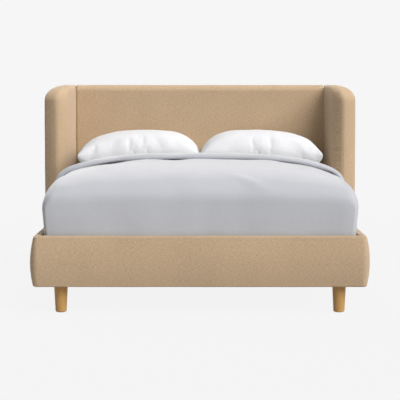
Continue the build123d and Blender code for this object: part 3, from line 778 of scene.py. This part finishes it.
# waves and soft creases, in metres along the skin's own outward direction
def duvetCrease(point):
    f = creaseForm
    x, y, z = point
    wave = f["slow"] * softWave((x, y, z), f["slowSize"], 2.2)
    wave += f["quick"] * softWave((x * 1.2, y, z * 0.8), f["quickSize"], 8.4)
    if y < f["footLine"]:
        low = max(0.0, min(1.0, (f["footTop"] - z) / f["footFade"]))
        wide, narrow = Vector((x * 7.5, 4.2, z * 0.9)), Vector((x * 15.0, 9.1, z * 1.5))
        wave += f["footGather"] * low * (noise.noise(wide) * 0.6 + noise.noise(narrow) * 0.4)
    if abs(x) > f["sideLine"]:
        low = max(0.0, min(1.0, (f["sideTop"] - z) / f["sideFade"]))
        wave += f["sideGather"] * low * noise.noise(Vector((y * 6.0, 2.2 + x, z * 0.9)))
    sway = f["hemSway"] * math.cos(f["hemTurns"] * x) * math.exp(-((x / f["hemReach"]) ** 2))
    sway += f["hemDrift"] * noise.noise(Vector((x * 5.5, 3.3, 0.4)))
    wave += sway * math.exp(-((y - duvetForm["cuffLine"]) / f["hemBand"]) ** 2)
    behind = y - f["ridgeY"]
    away = abs((x - f["ridgeX"]) * 0.5 + behind * 0.86 + 0.02 * noise.noise(Vector((x * 6, y * 6, 1.0))))
    spreadX, spreadY = f["ridgeSpread"]
    reach = math.exp(-((x - f["ridgeMiddle"]) / spreadX) ** 2 - (behind / spreadY) ** 2)
    return wave + f["ridge"] * reach * math.exp(-(away / f["ridgeWidth"]) ** 2)


# distances of the last rows, which come closer together round the fold
def foldSpots(run):
    cuts = duvetForm["foldRows"]
    return [run - duvetForm["foldReach"] * (1 - math.sin(math.pi / 2 * k / cuts)) for k in range(cuts + 1)]


# the outer skin's rows and the inner ones, from the middle of the upright foot end to the fold
def duvetRows():
    f = duvetForm
    face, foot, run = f["faceLine"], f["mattressFoot"], f["foldLine"] - f["faceLine"]
    outer, inner = [], []
    first, firstInner = duvetRow(0.0), hollowRow(foot + 0.004)
    for k in range(f["footRows"]):
        share = (k / f["footRows"]) ** f["footSpread"]
        outer.append(shrunkRow(first, share, face - f["footBulge"] * (1 - share**2)))
        inner.append(shrunkRow(firstInner, share, foot))
    steps = [f["rollReach"] * (k / f["rollRows"]) ** f["rollSpread"] for k in range(f["rollRows"] + 1)]
    steps += list(np.linspace(f["rollReach"], run - f["topEnd"], f["topRows"]))[1:] + foldSpots(run)[1:]
    for distance in steps:
        outer.append(duvetRow(distance))
        inner.append(hollowRow(min(max(foot + 0.0005, face + distance), f["foldLine"])))
    return outer, inner


# one closed shell: outer skin, fold, inner skin and the two long hems
def makeDuvet():
    outer, inner = duvetRows()
    rows, count = outer + inner[::-1], len(outer[0])
    faces = gridFaces(len(rows), count)
    for r in range(len(outer) - 1):
        for c in (0, count - 1):
            back = (len(rows) - 1 - r) * count + c
            faces.append((r * count + c, (r + 1) * count + c, back - count, back))
    piece = newPiece("duvetBody", [p for row in rows for p in row], faces, "duvet", 0)
    edited(piece, lambda form: closeUp(form, False))
    onMattress, hem = within(["mattress"], 0.0012), duvetForm["hem"] + duvetForm["hemStill"]
    crease(piece, duvetCrease, lambda p: onMattress(p) or p.z < hem)
    dress(piece, "duvet", 60)
    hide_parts("duvet")
    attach(piece, "bedding")


makeDuvet()

# the cuff: how far ahead and how high each row of its lip lies, then its height on the duvet
cuffForm = {
    "lip": [(0.026, 0.0), (0.010, 0.001), (0.003, 0.005), (0.0, 0.012), (0.002, 0.020), (0.010, 0.027),
            (0.024, 0.030)],
    "lipEnd": 0.05, "foldStart": 0.062, "rows": 16, "rise": 0.022, "swell": 0.008, "foldRise": 0.020,
    "creaseShare": 0.6, "sideTop": 0.62, "sideReach": 0.12, "sideThin": 0.72,
}


# the turned-down end: a rolled layer on the duvet, from its hem back to the fold
def makeCuff():
    f = cuffForm
    run = duvetForm["foldLine"] - duvetForm["faceLine"]
    start = duvetForm["cuffLine"] - duvetForm["faceLine"]
    spots = [(start + ahead, rise) for ahead, rise in f["lip"]]
    for k, distance in enumerate(np.linspace(start + f["lipEnd"], run - f["foldStart"], f["rows"])):
        spots.append((distance, f["rise"] + f["swell"] * (1 - k / (f["rows"] - 1)) ** 2))
    spots += [(distance, f["foldRise"]) for distance in foldSpots(run)]
    rows = []
    for distance, rise in spots:
        row = duvetRow(distance)
        before, after = duvetRow(max(distance - 0.01, 0)), duvetRow(min(distance + 0.01, run))
        placed = []
        for c, point in enumerate(row):
            along = (after[c] - before[c]).normalized()
            across = (row[min(c + 1, len(row) - 1)] - row[max(c - 1, 0)]).normalized()
            out = across.cross(along)
            if out.z < 0 or (abs(out.z) < 0.2 and out.x * point.x < 0):
                out = -out
            side = max(0.0, min(1.0, (f["sideTop"] - point.z) / f["sideReach"]))
            placed.append(point + out * rise * (1 - f["sideThin"] * side))
        rows.append(placed)
    piece, hem = rowsPiece("duvetCuff", rows, "duvet"), duvetForm["hem"] + duvetForm["hemStill"]
    crease(piece, lambda p: f["creaseShare"] * duvetCrease(p), lambda p: p.z < hem)
    dress(piece, "duvet", 60)
    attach(piece, "bedding")


makeCuff()
print("duvet made")


mattressForm = {
    "half": 0.762, "foot": -1.029, "head": 1.003, "low": 0.31, "high": 0.59, "corner": 0.09, "edge": 0.048,
    "spacing": 0.03, "cornerCuts": 12, "edgeCuts": 8,
    "heights": (0.06, 0.1, 0.14, 0.18, 0.21), "topInsets": (0.09, 0.15, 0.25, 0.38, 0.55, 0.70),
}


# corners rounded, points at even distances
def roundedOutline(half, foot, head, radius):
    points, count = [], mattressForm["cornerCuts"]
    for cx, cy, start in ((half - radius, foot + radius, -90), (half - radius, head - radius, 0),
                          (-half + radius, head - radius, 90), (-half + radius, foot + radius, 180)):
        for k in range(count + 1):
            angle = math.radians(start + 90 * k / count)
            points.append((cx + radius * math.cos(angle), cy + radius * math.sin(angle)))
    dense = []
    for (x, y), (u, v) in zip(points, points[1:] + points[:1]):
        cuts = max(1, int(math.hypot(u - x, v - y) / mattressForm["spacing"]))
        dense += [(x + (u - x) * k / cuts, y + (v - y) * k / cuts) for k in range(cuts)]
    return dense


def mattressRows():
    f = mattressForm
    tall, middle, reach = f["high"] - f["low"], (f["foot"] + f["head"]) / 2, (f["head"] - f["foot"]) / 2
    turns = [math.pi / 2 * k / f["edgeCuts"] for k in range(f["edgeCuts"] + 1)]
    sections = [(0.03, 0.0), (0.006, 0.002), (0.0, 0.008), (0.0, 0.03)] + [(0.0, height) for height in f["heights"]]
    sections += [(f["edge"] * (1 - math.cos(a)), tall - f["edge"] + f["edge"] * math.sin(a)) for a in turns]
    sections += [(inset, tall) for inset in f["topInsets"]]
    ring = roundedOutline(f["half"], f["foot"], f["head"], f["corner"])
    rows = []
    for inset, height in sections:
        shrinkX, shrinkY = (f["half"] - inset) / f["half"], (reach - inset) / reach
        rows.append([Vector((x * shrinkX, middle + (y - middle) * shrinkY, f["low"] + height)) for x, y in ring])
    return rows


mattress = rowsPiece("mattressCover", mattressRows(), "ticking", True)
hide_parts("mattress")
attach(mattress, "bedding")


# tape sewn round the two edges of the mattress
pipingForm = {"radius": 0.004, "sunk": 0.0026, "heights": {"top": 0.543, "bottom": 0.328}, "cuts": 8}


def makePiping(name, height):
    m, f = mattressForm, pipingForm
    sunk = f["sunk"]
    line = roundedOutline(m["half"] - sunk, m["foot"] + sunk, m["head"] - sunk, m["corner"] - sunk)
    turns = [2 * math.pi * k / f["cuts"] for k in range(f["cuts"])]
    rows = []
    for index, (x, y) in enumerate(line):
        ahead, past = line[(index + 1) % len(line)], line[index - 1]
        out = Vector((ahead[1] - past[1], past[0] - ahead[0], 0)).normalized()
        centre, up = Vector((x, y, height)), Vector((0, 0, 1))
        rows.append([centre + out * f["radius"] * math.cos(a) + up * f["radius"] * math.sin(a) for a in turns])
    piping = rowsPiece(name, rows + [rows[0]], "tape", True)
    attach(piping, "bedding")


for edge, height in pipingForm["heights"].items():
    makePiping(f"mattressPiping_{edge}", height)
print("mattress made")


pillowForm = {
    "width": 0.724, "depth": 0.49, "low": 0.5903, "high": 0.852, "seam": 0.122, "middle": (0.3665, 0.758),
    "cuts": 44, "pull": 0.028, "outerFull": 1.9, "innerFull": 3.6, "endFull": 2.4, "underFull": 1.5,
    "slow": 0.004, "quick": 0.0025, "gather": 0.0035, "gathers": 19, "dent": 0.003, "dentWidth": 0.012,
    "dentPlace": 0.05, "dentDrift": 0.03, "dentLow": 0.12, "dentRise": 0.14,
    "cloth": {"voxel": 0.008, "frames": 18, "pressure": 2.5, "stiff": 12.0, "bend": 0.05, "slack": 0.035,
              "cap": 0.007},
}


# waves, gathers towards the sewn edges and, on the right pillow, one dent
def pillowCrease(point, sign):
    f = pillowForm
    x, y, z = point
    reach = min(1.0, max(abs(x) / (f["width"] / 2), abs(y) / (f["depth"] / 2)))
    turn = math.atan2(y / f["depth"], x / f["width"])
    drift = 5 * noise.noise(Vector((x * 4, y * 4, sign)))
    gather = math.sin(turn * f["gathers"] + drift) * reach**5 * (1 - reach**8)
    away = x - f["dentPlace"] + f["dentDrift"] * softWave(point, 0.1, 2.0)
    dent = math.exp(-((away / f["dentWidth"]) ** 2)) * max(0.0, z - f["dentLow"]) / f["dentRise"]
    waves = f["slow"] * softWave(point, 0.16, 3.0 + sign) + f["quick"] * softWave(point, 0.06, 6.0 + sign)
    return waves + f["gather"] * gather - f["dent"] * dent * (1 + sign) / 2


# two skins on one sewn edge, swelled by the cloth simulation and held within the pillow's own room
def makePillow(side, sign):
    f = pillowForm
    n, middleX, middleY = f["cuts"], sign * f["middle"][0], f["middle"][1]
    points, faces, index = [], [], {}
    for layer in (1, -1):
        for i in range(n + 1):
            for j in range(n + 1):
                if layer < 0 and (i in (0, n) or j in (0, n)):
                    index[layer, i, j] = index[1, i, j]
                    continue
                su, sv = math.sin((-1 + 2 * i / n) * math.pi / 2), math.sin((-1 + 2 * j / n) * math.pi / 2)
                x = f["width"] / 2 * su * (1 - f["pull"] * (1 - sv * sv) * su * su)
                y = f["depth"] / 2 * sv * (1 - 1.7 * f["pull"] * (1 - su * su) * sv * sv)
                full = f["outerFull"] if su * sign > 0 else f["innerFull"]
                lift = (max(0.0, 1 - abs(su) ** full) ** 0.5) * (max(0.0, 1 - abs(sv) ** f["endFull"]) ** 0.5)
                above = f["seam"] + (f["high"] - f["low"] - f["seam"]) * lift
                index[layer, i, j] = len(points)
                points.append((x, y, above if layer > 0 else f["seam"] * (1 - lift * f["underFull"])))
    for layer in (1, -1):
        for i in range(n):
            for j in range(n):
                quad = [index[layer, i + a, j + b] for a, b in ((0, 0), (1, 0), (1, 1), (0, 1))]
                faces.append(quad if layer > 0 else quad[::-1])
    piece = newPiece(f"pillowCase_{side}", points, faces, "pillow", 0)
    crease(piece, lambda point: pillowCrease(point, sign), lambda point: False)
    for vertex in piece.data.vertices:
        x, y, z = vertex.co
        vertex.co = (middleX + x, middleY + y, max(0.0, z) + f["low"])
    edited(piece, lambda form: bmesh.ops.recalc_face_normals(form, faces=form.faces))
    swollen(piece, f["cloth"], lambda place: place.z < f["low"] + 0.002)
    for vertex in piece.data.vertices:
        x, y, z = vertex.co
        across = min(max(x - middleX, -f["width"] / 2), f["width"] / 2)
        along = min(max(y - middleY, -f["depth"] / 2), f["depth"] / 2)
        vertex.co = (middleX + across, middleY + along, max(z, f["low"]))
    rounder = piece.modifiers.new("rounder", "SUBSURF")
    rounder.levels = rounder.render_levels = 1
    return dress(piece, "pillow", 80)


for side, sign in sides.items():
    pillow = makePillow(side, sign)
    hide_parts(f"pillow_{side}")
    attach(pillow, f"pillow_{side}")
print("pillows made")


strapForm = {
    "inner": 0.42, "outer": 0.445, "top": 0.2917, "low": 0.2905, "foot": -1.021, "head": 0.9825, "cuts": 120,
}


def makeStrap(side, sign):
    f = strapForm
    middle = (f["inner"] + f["outer"]) / 2
    ring = [(x, f["top"]) for x in (f["inner"], middle, f["outer"])]
    ring += [(x, f["low"]) for x in (f["outer"], middle, f["inner"])]
    points = [(sign * x, y, z) for y in np.linspace(f["foot"], f["head"], f["cuts"]) for x, z in ring]
    faces = gridFaces(f["cuts"], len(ring), True)
    last = len(points) - len(ring)
    faces += [tuple(range(len(ring) - 1, -1, -1)), tuple(range(last, len(points)))]
    strap = newPiece(f"slatStrap_{side}", points, faces, "webbing", 0)
    edited(strap, lambda form: bmesh.ops.recalc_face_normals(form, faces=form.faces))
    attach(strap, "frame")
    return strap


straps = [makeStrap(side, sign) for side, sign in sides.items()]
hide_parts("slat_straps")


studio = {
    "frontLight": {"turn": 50.0, "height": 39.0, "spread": 46.0, "strength": 3.7},
    "backLight": {"turn": 205.0, "height": 12.0, "spread": 60.0, "strength": 2.3},
    "topPlace": (0.3, 1.1, 6.5), "topAim": (0.0, 0.1, 0.6), "topSize": 3.0, "topPower": 115.0,
    "worldStrength": 0.05, "floorBounce": 0.6, "floorSeen": 0.6, "floorGlow": 0.96,
    "background": toLinear(246, 246, 246),
    "floorSize": 400, "fadeStart": 2.5, "fadeEnd": 6.0,
    "cameraPlace": (0.0, -8.8485, 1.13), "cameraTilt": 4.16, "lens": 142.3,
}


def addLight(name, light, turn, place=(0, 0, 0)):
    holder = bpy.data.objects.new(name, light)
    holder.location = place
    holder.rotation_euler = turn
    bpy.context.scene.collection.objects.link(holder)


# 1 for the rays that see the backdrop: straight from the camera, or by a shiny or a clear face
def backdropRays(wire):
    kinds = ("Is Camera Ray", "Is Glossy Ray", "Is Transmission Ray")
    seen = [wire.node("LightPath", {}, {}, kind) for kind in kinds]
    return seen[0] + seen[1] + seen[2]


for name in ("frontLight", "backLight"):  # wide soft lights at the same slant all over the bed
    facts = studio[name]
    wide = bpy.data.lights.new(name, "SUN")
    wide.angle = math.radians(facts["spread"])
    wide.energy = facts["strength"]
    addLight(name, wide, (math.radians(90 - facts["height"]), 0, math.radians(facts["turn"])))
topLamp = bpy.data.lights.new("topLamp", "AREA")
topLamp.shape = "DISK"
topLamp.size = studio["topSize"]
topLamp.energy = studio["topPower"]
aim = Vector(studio["topAim"]) - Vector(studio["topPlace"])
addLight("topLamp", topLamp, aim.to_track_quat("-Z", "Y").to_euler(), studio["topPlace"])

world = bpy.data.worlds.new("studioWorld")
bpy.context.scene.world = world
world.use_nodes = True
sky = Wire(world.node_tree)
rays = backdropRays(sky)
seen = sky.node("Background", {}, {"Color": studio["background"], "Strength": 1.0})
glow = sky.node("Background", {}, {"Color": (1.0, 0.985, 0.97, 1.0), "Strength": studio["worldStrength"]})
final = sky.node("MixShader", {}, {0: rays, 1: glow, 2: seen})
world.node_tree.links.new(final.socket, world.node_tree.nodes["World Output"].inputs["Surface"])

# the floor keeps the shadow under the bed and turns into the backdrop further off
bpy.ops.mesh.primitive_plane_add(size=studio["floorSize"], location=(0, 0, 0))
floor = bpy.context.object
floor.name = "studioFloor"
paper = bpy.data.materials.new("studioPaper")
paper.use_nodes = True
tree = paper.node_tree
base = Wire(tree)
plain = tree.nodes["Principled BSDF"]
plain.inputs["Roughness"].default_value = 0.95
plain.inputs["Specular IOR Level"].default_value = 0.0
shine = base.node("Emission", {}, {"Color": studio["background"], "Strength": 1.0})
camera = backdropRays(base)
grey = camera * (studio["floorSeen"] - studio["floorBounce"]) + studio["floorBounce"]
tree.links.new(base.node("CombineColor", {}, {0: grey, 1: grey, 2: grey}).socket, plain.inputs["Base Color"])
spot = base.node("TexCoord", {}, {}, "Object")
away = base.node("VectorMath", {"operation": "LENGTH"}, {0: spot}, "Value")
far = away.step(studio["fadeStart"], studio["fadeEnd"])
glow = camera * (far * (1 - studio["floorGlow"]) + studio["floorGlow"])
mixed = base.node("MixShader", {}, {0: glow, 1: Wire(tree, plain.outputs[0]), 2: shine})
tree.links.new(mixed.socket, tree.nodes["Material Output"].inputs["Surface"])
floor.data.materials.append(paper)

lens = bpy.data.cameras.new("viewCamera")
lens.lens = studio["lens"]
lens.sensor_width = 36
viewer = bpy.data.objects.new("viewCamera", lens)
viewer.location = studio["cameraPlace"]
viewer.rotation_euler = (math.radians(90 - studio["cameraTilt"]), 0, 0)
bpy.context.scene.collection.objects.link(viewer)
bpy.context.scene.camera = viewer
bpy.context.scene.view_settings.view_transform = "Standard"
print("studio set")
